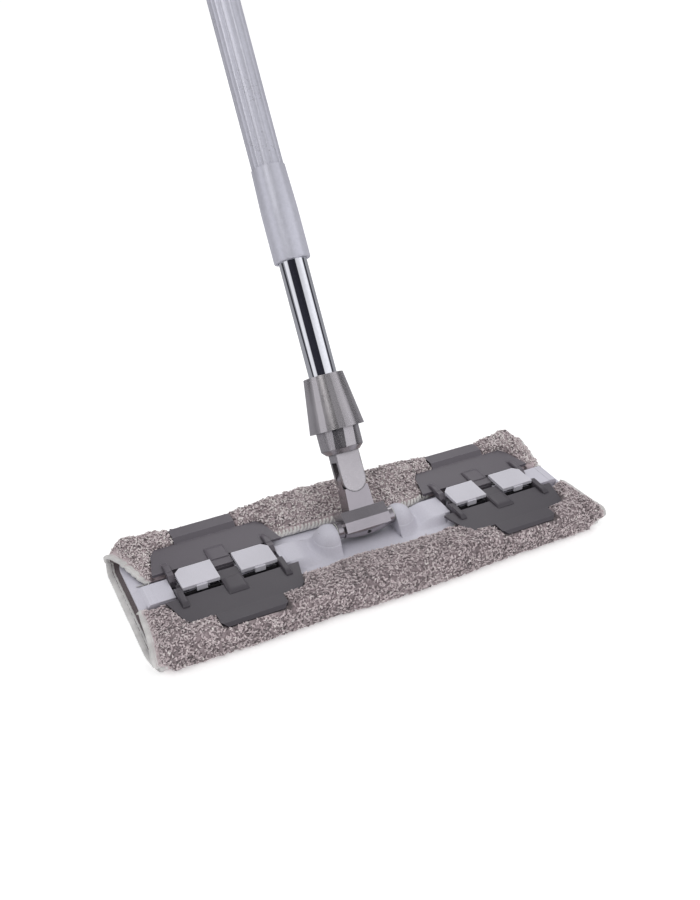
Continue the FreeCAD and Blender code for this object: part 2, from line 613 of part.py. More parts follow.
def washer(name, radius, bore, along, low, **place):
    """A flat ring on one axis, with its lower face at low."""
    disc = rod(f"{name}_disc", radius, along, low, f"{low} + washer_thick", **place)
    hole = rod(f"{name}_hole", f"{bore} + running", along, f"{low} - past",
               f"{low} + washer_thick + past", **place)
    return cut(f"{name}_washer", disc, hole)


# ---------------------------------------------------------------- the sub-parts

node("base_plate", make_base_plate())
node("mop_cloth", make_cloth())
make_clamps()
node("axle_pin", rod("axle", "axle_rad", "x", "-axle_half", "axle_half", z="pivot_height"))
axle_lows = (("left", "-(hub_half + washer_gap) - washer_thick"), ("right", "hub_half + washer_gap"))
node("axle_washers", together("axle_washer_pair", *(
    washer(f"axle_{end}", "axle_washer_rad", "axle_rad", "x", low, z="pivot_height")
    for end, low in axle_lows)))

on_handle("foot_block", make_foot())
on_handle("grub_screw", make_grub_screw())
on_handle("upper_neck", make_upper_neck())
on_handle("swivel_pin", together("swivel_pin_only", rod(
    "swivel", "swivel_rad", "y", "neck_front + pin_skin + pin_end", "neck_rear - pin_end",
    z="swivel_up")))
swivel_lows = (("front", "neck_front + cheek_thick + swivel_washer_gap"),
               ("rear", "neck_rear - cheek_thick - swivel_washer_gap - washer_thick"))
on_handle("swivel_washers", together("swivel_washer_pair", *(
    washer(f"swivel_{end}", "swivel_washer_rad", "swivel_rad", "y", low, z="swivel_up")
    for end, low in swivel_lows)))

on_tube("skirt_nut", make_skirt_nut())
on_tube("tube_collet", make_collet())
on_tube("inner_tube", tube("inner", "inner_rad", "inner_wall", "inner_low", "inner_top"))
on_tube("guide_bush", make_guide_bush())
on_tube("outer_tube", tube("outer", "outer_rad", "outer_wall", "outer_low", "outer_top"))
on_tube("clamp_bush", make_clamp_bush())
on_tube("lock_collar", make_collar())
on_tube("end_cap", make_end_cap())

doc.recompute()

for thing in doc.Objects:
    if "Invalid" in thing.State or "Error" in thing.State:
        raise RuntimeError(f"{thing.Label} ({thing.Name}) failed: {thing.State}")
for thing in NODES:
    if thing.Shape.isNull() or not thing.Shape.isValid():
        raise RuntimeError(f"{thing.Label} has no valid shape")
for thing in NODES:
    box_of = thing.Shape.BoundBox
    print(f"{thing.Label:26s} solids {len(thing.Shape.Solids)}  volume {thing.Shape.Volume:10.1f}  "
          f"x {box_of.XMin:7.1f} {box_of.XMax:7.1f}  y {box_of.YMin:7.1f} {box_of.YMax:7.1f}  "
          f"z {box_of.ZMin:7.1f} {box_of.ZMax:7.1f}")
    thing.Shape.exportStep(f"parts/{thing.Label}.step")
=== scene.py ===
import math

import bpy
import numpy as np
from mathutils import Matrix, Vector, noise


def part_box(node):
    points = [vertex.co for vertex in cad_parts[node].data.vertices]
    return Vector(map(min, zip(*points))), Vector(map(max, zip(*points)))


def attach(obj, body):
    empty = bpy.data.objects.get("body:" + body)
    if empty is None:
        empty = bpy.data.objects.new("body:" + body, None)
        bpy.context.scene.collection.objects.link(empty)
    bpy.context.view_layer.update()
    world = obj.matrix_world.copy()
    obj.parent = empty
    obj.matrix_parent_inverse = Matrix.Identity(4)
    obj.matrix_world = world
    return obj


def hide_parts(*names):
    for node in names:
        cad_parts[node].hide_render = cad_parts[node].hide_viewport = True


# A flat mop at rest on the floor. X runs along the head, and the handle leans towards +Y.

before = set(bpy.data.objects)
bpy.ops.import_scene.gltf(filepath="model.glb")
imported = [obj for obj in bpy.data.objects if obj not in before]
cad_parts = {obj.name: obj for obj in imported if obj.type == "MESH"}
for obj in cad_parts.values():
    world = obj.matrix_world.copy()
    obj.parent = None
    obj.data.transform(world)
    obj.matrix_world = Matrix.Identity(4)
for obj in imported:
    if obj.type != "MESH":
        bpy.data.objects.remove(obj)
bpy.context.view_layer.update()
scene = bpy.context.scene

MM = 0.001
LEAN = math.radians(34)
HANDLE_AXIS = Vector((0, math.sin(LEAN), math.cos(LEAN)))
HANDLE_FRONT = Vector((0, -math.cos(LEAN), math.sin(LEAN)))
DECK = 13.0
SPINE = 7.0
PAIR_AT = 128.0
SIDES = (("left", -1), ("right", 1))


# ---------------------------------------------------------------- node materials

class Nodes:
    """Short calls for building one material's node tree."""

    def __init__(self, tree):
        self.tree = tree

    def new(self, kind, links=None, **settings):
        made = self.tree.nodes.new(kind)
        for name, value in settings.items():
            setattr(made, name, value)
        for name, value in (links or {}).items():
            socket = made.inputs[name]
            if isinstance(value, bpy.types.NodeSocket):
                self.tree.links.new(value, socket)
            else:
                socket.default_value = value
        return made

    def noise(self, where, scale, detail=4.0, roughness=0.55):
        return self.new("ShaderNodeTexNoise", {
            "Vector": where, "Scale": scale, "Detail": detail,
            "Roughness": roughness}).outputs["Fac"]

    def spread(self, value, low, high, to_low, to_high):
        return self.new("ShaderNodeMapRange", {
            "Value": value, "From Min": low, "From Max": high, "To Min": to_low,
            "To Max": to_high}).outputs["Result"]

    def mix(self, factor, first, second, blend="MIX"):
        made = self.tree.nodes.new("ShaderNodeMix")
        made.data_type = "RGBA"
        made.blend_type = blend
        for socket, value in ((made.inputs[0], factor), (made.inputs[6], first),
                              (made.inputs[7], second)):
            if isinstance(value, bpy.types.NodeSocket):
                self.tree.links.new(value, socket)
            else:
                socket.default_value = value
        return made.outputs[2]

    def math(self, operation, first, second=0.0):
        return self.new("ShaderNodeMath", {0: first, 1: second}, operation=operation).outputs[0]

    def grey(self, value):
        return self.new("ShaderNodeCombineColor", {
            "Red": value, "Green": value, "Blue": value}).outputs[0]

    def dot(self, first, second):
        return self.new("ShaderNodeVectorMath", {0: first, 1: second},
                        operation="DOT_PRODUCT").outputs["Value"]

    def ramp(self, factor, stops):
        """A colour ramp from (place, colour) stops."""
        made = self.new("ShaderNodeValToRGB", {"Fac": factor})
        elements = made.color_ramp.elements
        while len(elements) < len(stops):
            elements.new(0.5)
        for element, (place, colour) in zip(elements, stops):
            element.position = place
            element.color = colour
        return made.outputs[0]

    def bump(self, height, strength, distance):
        return self.new("ShaderNodeBump", {
            "Height": height, "Strength": strength, "Distance": distance}).outputs["Normal"]


def linear(red, green, blue):
    """A display colour from 0 to 255 a channel, as the shader's linear colour."""
    def channel(value):
        value /= 255
        return value / 12.92 if value <= 0.04045 else ((value + 0.055) / 1.055) ** 2.4
    return channel(red), channel(green), channel(blue), 1


def start_material(name):
    """A new material with its helper, its Principled shader and the object's coordinates."""
    made = bpy.data.materials.new(name)
    made.use_nodes = True
    made.node_tree.nodes.clear()
    nodes = Nodes(made.node_tree)
    shader = nodes.new("ShaderNodeBsdfPrincipled")
    output = nodes.new("ShaderNodeOutputMaterial")
    made.node_tree.links.new(shader.outputs[0], output.inputs[0])
    where = nodes.new("ShaderNodeTexCoord").outputs["Object"]
    return made, nodes, shader, where


def shaded(colour, share):
    """A colour times share, with no channel above 1."""
    return tuple(min(1, c * share) for c in colour[:3]) + (1,)


def moulded(name, colour, roughness, metallic=0.0, grain=900.0, grain_depth=0.03, cloud=18.0,
            contrast=0.06, edge_wear_and_shading=0.0, streak=None, edge=0.5, crevice_shade=0.0, deepest=0.12, edge_wear_and_shading_tone=1.7):
    """Moulded plastic or cast metal: cloudy tone, a fine eroded grain and uneven gloss.

    The edge wear and shading strength paints the edges, over a band of edge mm, towards its tone
    times the colour:
    lighter edges are partly real wear and partly painted edge highlight, darker edges a painted
    dark outline shade.
    The crevice shade paints shade into corners that are closed in within that many mm, down to the
    share deepest.
    streak stretches the grain along one axis, as brushing does.
    """
    made, nodes, shader, where = start_material(name)
    place = where
    if streak is not None:
        place = nodes.new("ShaderNodeMapping", {"Vector": where, "Scale": streak}).outputs[0]
    clouds = nodes.noise(where, cloud)
    fine = nodes.noise(place, grain, 3.0, 0.6)
    toned = nodes.mix(nodes.spread(clouds, 0.3, 0.7, 0, 1), shaded(colour, 1 - contrast),
                      shaded(colour, 1 + contrast))
    speckle = nodes.spread(fine, 0.35, 0.65, 0.96, 1.04)
    toned = nodes.mix(1.0, toned, nodes.grey(speckle), "MULTIPLY")
    # painted edge light: lighter edges are partly real wear and partly painted highlight, darker
    # ones painted shade
    if edge_wear_and_shading:
        soft_normal = nodes.new("ShaderNodeBevel", {"Radius": edge * MM}, samples=4).outputs[0]
        true_normal = nodes.new("ShaderNodeNewGeometry").outputs["Normal"]
        turned = nodes.dot(soft_normal, true_normal)
        patches = nodes.spread(nodes.noise(where, 160.0), 0.35, 0.6, 0.35, 1)
        edge_wear_and_shading_mask = nodes.math("MULTIPLY", nodes.spread(turned, 0.995, 0.88, 0, edge_wear_and_shading), patches)
        toned = nodes.mix(edge_wear_and_shading_mask, toned, shaded(colour, edge_wear_and_shading_tone))
    # painted shade: corners closed in by nearby surfaces are darkened from ambient occlusion
    if crevice_shade:
        open_sky = nodes.new("ShaderNodeAmbientOcclusion", {"Distance": crevice_shade * MM},
                             samples=6).outputs["AO"]
        painted_crevice_shade = nodes.spread(open_sky, 0.15, 0.75, deepest, 1)
        toned = nodes.mix(1.0, toned, nodes.grey(painted_crevice_shade), "MULTIPLY")
    nodes.tree.links.new(toned, shader.inputs["Base Color"])
    gloss = nodes.math("ADD", nodes.spread(clouds, 0.3, 0.7, roughness * 0.85, roughness * 1.15),
                       nodes.spread(fine, 0.35, 0.65, -0.03, 0.03))
    nodes.tree.links.new(gloss, shader.inputs["Roughness"])
    nodes.tree.links.new(nodes.bump(fine, grain_depth, 0.0004), shader.inputs["Normal"])
    shader.inputs["Metallic"].default_value = metallic
    return made


# from the deepest gaps between the loops to the palest fibres
PILE_TONES = ((0.0, linear(66, 56, 59)), (0.25, linear(132, 118, 122)),
              (0.55, linear(192, 176, 180)), (0.85, linear(222, 209, 211)),
              (1.0, linear(236, 229, 227)))


def pile_material(name):
    """Looped microfibre: each loop has its own tone, from the mesh, with fibres as fine bump."""
    made, nodes, shader, where = start_material(name)
    tone = nodes.new("ShaderNodeAttribute", attribute_name="tone").outputs["Fac"]
    own = nodes.ramp(tone, PILE_TONES)
    clouds = nodes.noise(where, 35.0)
    fibres = nodes.noise(where, 2600.0, 2.0)
    toned = nodes.mix(nodes.spread(clouds, 0.35, 0.65, 0, 0.16), own, linear(146, 131, 134))
    toned = nodes.mix(nodes.spread(fibres, 0.4, 0.7, 0, 0.22), toned, linear(226, 217, 217))
    nodes.tree.links.new(toned, shader.inputs["Base Color"])
    nodes.tree.links.new(nodes.spread(fibres, 0.3, 0.7, 0.8, 1), shader.inputs["Roughness"])
    nodes.tree.links.new(nodes.bump(fibres, 0.5, 0.0003), shader.inputs["Normal"])
    shader.inputs["Sheen Weight"].default_value = 0.35
    shader.inputs["Sheen Roughness"].default_value = 0.5
    shader.inputs["Specular IOR Level"].default_value = 0.2
    return made


def tape_material(name, colour, ridges, sheen):
    """Woven tape or thread: fine ribs across it, uneven tone, and a soft sheen."""
    made, nodes, shader, where = start_material(name)
    weave = nodes.new("ShaderNodeTexWave", {"Vector": where, "Scale": ridges, "Distortion": 1.5,
                                            "Detail": 2.0}, bands_direction="DIAGONAL")
    clouds = nodes.noise(where, 90.0)
    dark = shaded(colour, 0.78)
    toned = nodes.mix(nodes.spread(clouds, 0.3, 0.7, 0, 1), dark, shaded(colour, 1.1))
    toned = nodes.mix(nodes.math("MULTIPLY", weave.outputs["Fac"], 0.3), toned, dark)
    nodes.tree.links.new(toned, shader.inputs["Base Color"])
    nodes.tree.links.new(nodes.spread(clouds, 0.3, 0.7, 0.35, 0.6), shader.inputs["Roughness"])
    nodes.tree.links.new(nodes.bump(weave.outputs["Fac"], 0.5, 0.0003), shader.inputs["Normal"])
    shader.inputs["Sheen Weight"].default_value = sheen
    return made


PLATE_GREY = linear(202, 200, 211)
PAD_GREY = linear(201, 199, 208)
WING_GREY = linear(96, 91, 98)
# the front wings' copy of the same plastic, darker as painted shade
SHADED_FRONT_WING_GREY = linear(76, 72, 78)
PEWTER = linear(192, 188, 190)
SLEEVE_GREY = linear(202, 202, 213)

# edge wear and shading lightens edges as partly real wear and partly painted highlight; crevice
# shade is painted shade in closed-in corners
MATERIALS = {
    "deck": moulded("deck_plastic", PLATE_GREY, 0.42, edge_wear_and_shading=0.2, crevice_shade=4.0, deepest=0.5),
    "pad": moulded("pad_plastic", PAD_GREY, 0.5, grain=1400.0, grain_depth=0.12, edge_wear_and_shading=0.5),
    "wing": moulded("wing_plastic", WING_GREY, 0.34, grain=1100.0, grain_depth=0.08, edge_wear_and_shading=0.7,
                    edge=0.8, crevice_shade=5.0, edge_wear_and_shading_tone=2.6),
    # the front wings' copy of the wing plastic, its darker colour painted shade
    "shaded_front_wing": moulded("wing_plastic_front_painted_shade", SHADED_FRONT_WING_GREY, 0.34, grain=1100.0, grain_depth=0.08,
                        edge_wear_and_shading=0.7, edge=0.8, crevice_shade=5.0, edge_wear_and_shading_tone=2.6),
    # a dark material for sheets that paint the shade in the gaps under the press pads
    "shade_liner": moulded("clamp_shade_liner", linear(42, 40, 44), 0.6),
    "joint": moulded("joint_plastic", PEWTER, 0.29, metallic=0.9, grain=1500.0, grain_depth=0.05,
                     contrast=0.12, edge_wear_and_shading=0.5, edge=0.6, crevice_shade=6.0),
    "foot": moulded("foot_metal", linear(173, 168, 172), 0.22, metallic=0.9, grain=1500.0,
                    grain_depth=0.05, contrast=0.12, edge_wear_and_shading=0.5, edge=0.6, crevice_shade=6.0),
    # the fork's edges are darkened into a painted dark outline shade
    "fork": moulded("fork_metal", PEWTER, 0.25, metallic=0.9, grain=1500.0, grain_depth=0.05,
                    contrast=0.12, edge_wear_and_shading=1.0, edge=1.6, crevice_shade=6.0, edge_wear_and_shading_tone=0.12),
    "sleeve": moulded("sleeve_plastic", SLEEVE_GREY, 0.34, metallic=0.35, grain=300.0,
                      grain_depth=0.004, cloud=12.0),
    "chrome": moulded("chrome_plate", (0.86, 0.87, 0.89, 1), 0.05, metallic=1.0, grain=700.0,
                      grain_depth=0.008, contrast=0.02, streak=(1.0, 1.0, 0.06)),
    "steel": moulded("spring_steel", (0.42, 0.42, 0.43, 1), 0.28, metallic=1.0, grain=2000.0,
                     crevice_shade=4.0),
    "nylon": moulded("nylon", linear(198, 197, 194), 0.5, grain=800.0, crevice_shade=4.0),
}

# each CAD node's material, and the width in mm of the small round edge on its corners
NODE_LOOKS = {
    "base_plate": ("deck", 0.6), "foot_block": ("foot", 0.8), "upper_neck": ("fork", 0.8),
    "skirt_nut": ("joint", 0.4), "grub_screw": ("steel", 0.15), "swivel_pin": ("steel", 0.3),
    "axle_pin": ("steel", 0.4), "swivel_washers": ("nylon", 0.1), "axle_washers": ("nylon", 0.1),
    "tube_collet": ("nylon", 0.2), "guide_bush": ("nylon", 0.2), "clamp_bush": ("nylon", 0.2),
    "inner_tube": ("chrome", 0.0), "outer_tube": ("sleeve", 0.0), "lock_collar": ("sleeve", 0.3),
    "end_cap": ("sleeve", 0.6), "wing_hinge_pins": ("steel", 0.2), "wing_springs": ("steel", 0.0),
}


def wing_look(row):
    # the front row gets the copy of the wing plastic with painted shade
    return MATERIALS["wing" if row == "rear" else "shaded_front_wing"]


def look_of(name):
    """A node's material and edge width. The clamp parts' names end in a side and a row or place."""
    if name in NODE_LOOKS:
        material, edge = NODE_LOOKS[name]
        return MATERIALS[material], edge
    kind, _, place = name.rsplit("_", 2)
    return {"wing": (wing_look(place), 0.5), "press_pad": (MATERIALS["pad"], 0.6),
            "pad_spring": (MATERIALS["steel"], 0.0)}[kind]


SHARP = math.radians(38)


def dress_cad_nodes():
    """Every CAD node gets its material, and its sharp corners a small round edge."""
    for name in sorted(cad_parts):
        if name == "mop_cloth":
            continue
        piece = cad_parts[name]
        material, edge = look_of(name)
        for slot in piece.material_slots:
            slot.material = material
        if not piece.material_slots:
            piece.data.materials.append(material)
        if edge:
            rounded = piece.modifiers.new("round_edges", "BEVEL")
            rounded.width = edge * MM
            rounded.segments = 2
            rounded.limit_method = "ANGLE"
            rounded.angle_limit = SHARP


# ---------------------------------------------------------------- meshes

def make_piece(name, points, faces, material, smooth=True):
    """A new object from points in metres, with one material."""
    mesh = bpy.data.meshes.new(name)
    mesh.from_pydata([tuple(p) for p in points], [], faces)
    mesh.update()
    mesh.polygons.foreach_set("use_smooth", [smooth] * len(mesh.polygons))
    piece = bpy.data.objects.new(name, mesh)
    scene.collection.objects.link(piece)
    piece.data.materials.append(material)
    return piece


def tube_along(path, radii, sides):
    """Points and faces of a closed tube along a path; radii gives its radius at each point."""
    path = np.asarray(path, float)
    ahead = np.gradient(path, axis=0)
    ahead /= np.linalg.norm(ahead, axis=1, keepdims=True) + 1e-12
    side = np.cross(ahead, np.array([0.0, 0.0, 1.0]))
    flat = np.linalg.norm(side, axis=1) < 1e-3
    side[flat] = (1, 0, 0)
    side /= np.linalg.norm(side, axis=1, keepdims=True)
    lift = np.cross(side, ahead)
    turn = np.linspace(0, 2 * math.pi, sides, endpoint=False)
    rings = (path[:, None] + radii[:, None, None] * (
        side[:, None] * np.cos(turn)[None, :, None]
        + lift[:, None] * np.sin(turn)[None, :, None]))
    return ring_faces(rings)


def ring_faces(rings, hollow=False):
    """Points and faces of a tube whose rings are given.

    Both ends are closed by a face, or a hollow tube's last ring joins its first.
    """
    count, sides = rings.shape[:2]
    faces = []
    for k in range(count if hollow else count - 1):
        here, ahead = k * sides, (k + 1) % count * sides
        for j in range(sides):
            after = (j + 1) % sides
            faces.append((here + j, here + after, ahead + after, ahead + j))
    if not hollow:
        faces.append(tuple(reversed(range(sides))))
        faces.append(tuple((count - 1) * sides + j for j in range(sides)))
    return rings.reshape(-1, 3), faces


def slab_faces(rows, columns):
    """Faces of a closed slab: a grid, the same grid below it, and the rim between them."""
    count = rows * columns
    index = np.arange(count).reshape(rows, columns)
    a, b = index[:-1, :-1].ravel(), index[1:, :-1].ravel()
    c, d = index[1:, 1:].ravel(), index[:-1, 1:].ravel()
    rim = np.concatenate([index[:-1, 0], index[-1, :-1], index[:0:-1, -1], index[0, :0:-1]])
    after = np.roll(rim, -1)
    return np.concatenate([np.stack([a, b, c, d], 1), np.stack([d, c, b, a], 1) + count,
                           np.stack([after, rim, rim + count, after + count], 1)])


def join_parts(parts):
    """Several (points, faces) as one."""
    all_points, all_faces, start = [], [], 0
    for points, faces in parts:
        all_points.append(points)
        all_faces += [tuple(v + start for v in face) for face in faces]
        start += len(points)
    return np.concatenate(all_points), all_faces


def smooth_step(value):
    value = np.clip(value, 0, 1)
    return value * value * (3 - 2 * value)


# ---------------------------------------------------------------- cloth

CLOTH_END = 211.2
BACKING = DECK + 0.2
ROWS, COLUMNS = 276, 180
TAPE = 6.0
HEM_END = 80
REAR_TAPE_LIFT = 3.5
FLOOR_GAP = 0.05
# the pile up to SOLE_TOP is the sole, and over FLAP_LOW it is the top of a flap
SOLE_TOP = 2.2
FLAP_LOW = 14

# how far from the middle each flap's inner edge lies, along the head (x, |y|)
FRONT_EDGE = ((-212, 9), (-200, 9), (-197, 13.6), (-186, 14.5), (-178, 21), (-84, 23.5),
              (-72, 28.5), (-50, 29), (-35, 26), (-8, 27), (20, 29.5), (60, 31), (74, 29),
              (84, 23.5), (178, 21), (189, 19), (199, 14), (205, 12), (212, 12))
REAR_EDGE = ((-212, 22), (-187, 21), (-180, 21), (-84, 25), (-72, 30), (-30, 28.5), (-10, 27.5),
             (12, 23), (32, 19.5), (60, 18.5), (70, 22), (84, 23), (178, 20.5), (186, 18.5),
             (196, 17), (212, 22))
# where each bound end of a flap lies, from its inner edge outward (|y|, x)
FLAP_ENDS = {
    ("rear", "left"): ((20, -187), (33, -194), (48, -202), (61, -207), (71, -212)),
    ("front", "left"): ((8, -200), (14, -201.5), (31, -205), (56, -210), (70, -212)),
    ("rear", "right"): ((16, 191), (25, 200), (40, 204), (60, 208)),
    ("front", "right"): ((11, 202), (27, 206), (54, 209), (70, 211)),
}
# height of the roll's crest along the head (x, z): full between the clamps and at the corners
REAR_CREST = ((-210, 24), (-203, 27), (-193, 29.5), (-181, 27.5), (-168, 28), (-155, 25),
              (-101, 25), (-90, 27.5), (-62, 30), (-35, 30.5), (0, 30), (50, 29.5), (76, 28.5),
              (92, 27), (101, 25), (155, 25), (166, 27), (176, 28), (188, 30), (200, 28),
              (210, 23))
FRONT_CREST = ((-210, 23), (-200, 26.5), (-180, 27), (-165, 27), (-155, 25.8), (-101, 25.8),
               (-90, 27), (-70, 27.5), (-30, 26), (20, 26.5), (70, 27.5), (90, 27),
               (101, 25.8), (155, 25.8), (166, 27), (185, 27), (198, 25.5), (210, 22))
# how far out each roll reaches, along the head (x, |y|)
REAR_WIDTH = ((0, 72.5),)
FRONT_WIDTH = ((-212, 74), (-70, 74), (-25, 75.5), (15, 77.2), (60, 76), (110, 74), (212, 73))


def along(knots, value):
    """The value between knots, which holds past the first and the last one."""
    places, values = zip(*knots)
    return np.interp(value, places, values)


def slow_noise(x, seed, size):
    """Smooth noise along the head, with waves of about size mm."""
    return np.array([noise.noise(Vector((v / size, seed, 0.5))) for v in np.atleast_1d(x)])


# In the functions of one side, side is 1 for the rear and -1 for the front. Each section is
# 17 control points (|y|, z), from the flap's inner edge out, round the roll and under.

def flap_edge(side, x):
    return along(REAR_EDGE if side > 0 else FRONT_EDGE, x)


def crest(side, x):
    """Height of the roll's crest along one side."""
    level = along(REAR_CREST if side > 0 else FRONT_CREST, x)
    return level + 1.4 * slow_noise(x, 3.7 * side, 30.0)


def mid_flap(edge):
    """A place on top of the flap, between its inner edge and the roll."""
    return 0.58 * edge + 0.42 * 58


def outside_of(side, x):
    """The pile side."""
    edge = flap_edge(side, x)
    top = crest(side, x)
    plump = np.clip((top - 20.5) / 6, 0, 1.4)
    reach = along(REAR_WIDTH if side > 0 else FRONT_WIDTH, x)
    wide = reach + 1.3 * slow_noise(x, 11.3 * side, 26.0)
    crease = 1.5 * slow_noise(x, 23.1 * side, 45.0)
    return [
        (edge + 0.8, 13.4), (edge - 0.2, 14.6), (edge + 0.4, 16.4 + 0.5 * plump),
        (edge + 2.6, 17.8 + 0.9 * plump), (edge + 7.5, 18.3 + 1.6 * plump + 0.6 * crease),
        (mid_flap(edge) + crease, 19.6 + 3.2 * plump), (50, 0.22 * 20 + 0.78 * top),
        (58, top - 0.5), (64.5, top), (wide - 3.2, top - 0.9), (wide - 0.6, top * 0.72),
        (wide, top * 0.42), (wide - 0.4, 5.0), (wide - 3.2, 1.9), (wide - 9, 0.8), (50, 0.8),
        (25, 0.8),
    ]


def inside_of(side, x):
    """The backing, which lies against the plate."""
    edge = flap_edge(side, x)
    return [
        (edge + 1.2, BACKING), (edge + 1.4, BACKING), (edge + 1.8, BACKING),
        (edge + 3.4, BACKING), (edge + 8, BACKING), (mid_flap(edge), BACKING), (50, BACKING),
        (56, BACKING), (59.8, BACKING), (61.3, 12.8), (61.8, 11.3), (61.8, 9.0), (61.7, 6.8),
        (60.6, 5.9), (56, 5.9), (46, 5.9), (25, 5.9),
    ]


def taped_outside(side, x):
    """The pile side at a bound end, where the tape holds the cloth thin."""
    edge = flap_edge(side, x)
    lift = REAR_TAPE_LIFT if side > 0 else 0
    return [
        (edge + 0.8, 13.4), (edge, 13.7), (edge + 0.2, 14.6), (edge + 1.2, 15.4),
        (edge + 5, 15.9 + 0.2 * lift), (mid_flap(edge), 16.4 + 0.6 * lift), (50, 17 + lift),
        (57, 17.3 + lift), (63, 17.1 + lift), (67.5, 15.4 + 0.9 * lift), (70, 12 + 0.8 * lift),
        (70.8, 8.4 + 0.3 * lift), (70.3, 4.6), (68, 1.7), (62.5, 0.7), (50, 0.6), (25, 0.6),
    ]


def taped_inside(side, x):
    """The backing at a bound end, close under the pile side."""
    edge = flap_edge(side, x)
    lift = REAR_TAPE_LIFT if side > 0 else 0
    return [
        (edge + 1.2, BACKING), (edge + 1.4, BACKING), (edge + 1.8, BACKING),
        (edge + 3.4, BACKING), (edge + 8, BACKING + 0.2 * lift),
        (mid_flap(edge), 13.9 + 0.6 * lift), (50, 14.6 + lift), (56, 14.9 + lift),
        (61.5, 14.8 + lift), (65.6, 13.4 + 0.9 * lift), (67.8, 10.8 + 0.8 * lift),
        (68.5, 8.2 + 0.3 * lift), (68.1, 5.4), (66.2, 3.5), (61, 2.8), (49, 2.7), (25, 2.7),
    ]


def whole_section(points_of, x):
    """Both sides' control points as one row, from the front flap round to the rear flap."""
    still = np.zeros_like(x)
    front = [(still - y, still + z) for y, z in points_of(-1, x)]
    rear = [(still + y, still + z) for y, z in reversed(points_of(1, x))]
    middle = [(still, front[-1][1])]
    return np.array(front + middle + rear)


def smooth_at(points, place):
    """A Catmull-Rom curve through control points, at one place along their row."""
    count = len(points)
    k = min(int(place), count - 2)
    t = place - k
    before, here, after, beyond = (points[min(max(k + d, 0), count - 1)] for d in (-1, 0, 1, 2))
    return 0.5 * (2 * here + (after - before) * t
                  + (2 * before - 5 * here + 4 * after - beyond) * t ** 2
                  + (3 * here - before - 3 * after + beyond) * t ** 3)


def even_places(points, count):
    """Places along a row of control points that are evenly spaced along its curve."""
    fine = np.linspace(0, len(points) - 1, 2000)
    line = np.array([smooth_at(points, p) for p in fine])
    length = np.concatenate([[0], np.cumsum(np.linalg.norm(np.diff(line, axis=0), axis=1))])
    return np.interp(np.linspace(0, length[-1], count), length, fine)


# half the length of a wing's plate, from its inner edge to its corners to its outer edge
WING_HALF = ((18.6, 57.2), (44.5, 50.5), (50.5, 46))
WING_OUT = 50.5
TONGUE_HALF, TONGUE_OUT = 27.7, 69.5


def beyond_plates(x, y):
    """How far outside the outline of the wings' plates a point lies, seen from above."""
    off, out = np.abs(np.abs(x) - PAIR_AT), np.abs(y)
    return np.maximum(off - along(WING_HALF, out), out - WING_OUT)


def beyond_tongues(x, y):
    """How far outside the outline of the wings' raised tongues a point lies."""
    off, out = np.abs(np.abs(x) - PAIR_AT), np.abs(y)
    return np.maximum(off - TONGUE_HALF, out - TONGUE_OUT)


def beyond_wings(x, y):
    return np.minimum(beyond_plates(x, y), beyond_tongues(x, y))


def wing_ceiling(x, y):
    """Greatest height that the cloth may have at a point, from the clamp wings above it."""
    out = np.abs(y)
    plate = 19.7 + 2.3 * np.clip(beyond_plates(x, y) - 0.3, 0, None)
    under_tongue = 19.9 + 4.0 * np.clip((out - 49.7) / 4, 0, 1)
    beyond = np.maximum(beyond_tongues(x, y), 50 - out)
    tongue = under_tongue + 2.3 * np.clip(beyond - 0.4, 0, None)
    return np.minimum(plate, np.where(out > 49.5, tongue, 99))


def cloth_grid(points_of, taped_points_of):
    """The cloth's points, one row for each place along the head, thin under the end tapes.

    The columns follow the same places on either face. Rounded corners draw the ends in, and
    above the plate each end slants as FLAP_ENDS says.
    """
    template = whole_section(outside_of, np.array([0.0]))[:, :, 0]
    places = even_places(template, COLUMNS)
    share = np.linspace(0, 1, ROWS)
    grid = np.zeros((ROWS, COLUMNS, 3))
    for column, place in enumerate(places):
        y, z = smooth_at(template, place)
        row = "rear" if y > 0 else "front"
        ends = []
        left = np.clip((-y - 38) / 36, 0, 1) ** 2 * 5 + np.clip((y - 60) / 14, 0, 1) ** 2 * 1.5
        right = np.clip((abs(y) - 54) / 20, 0, 1) ** 2 * (9.5 if y < 0 else 7)
        for end, plain in (("left", left - CLOTH_END), ("right", CLOTH_END - right)):
            bound = along(FLAP_ENDS[row, end], abs(y)) if z > 12 else plain
            ends.append(plain + (bound - plain) * np.clip((z - 8) / 8, 0, 1))
        x = ends[0] + (ends[1] - ends[0]) * share
        flat_until, rise = (2.5, 11) if z > 12 else (7, 4)
        held = 1 - smooth_step((np.minimum(x - ends[0], ends[1] - x) - flat_until) / rise)
        full = smooth_at(whole_section(points_of, x), place)
        taped = smooth_at(whole_section(taped_points_of, x), place)
        grid[:, column, 0] = x
        grid[:, column, 1:] = (full * (1 - held) + taped * held).T
    return grid


def grid_normals(grid):
    """Unit normals that point out of the pile side. They point down under the sole."""
    down = np.gradient(grid, axis=0)
    across = np.gradient(grid, axis=1)
    normal = np.cross(across, down)
    normal /= np.linalg.norm(normal, axis=2, keepdims=True) + 1e-9
    return -normal if normal[ROWS // 2, COLUMNS // 2, 2] > 0 else normal


def pile_height(point):
    """Lumps of tangled loops: wide soft swells with small round loops on them, in mm."""
    x, y, z = point
    swell = noise.noise(Vector((x / 18, y / 18, z / 18 + 7))) * 1.1
    tuft = noise.noise(Vector((x / 5.5, y / 5.5, z / 5.5 + 31))) * 0.8
    near = noise.voronoi(Vector((x / 3.5, y / 3.5, z / 3.5)))[0][0]
    return swell + tuft + (0.45 - near) * 1.5


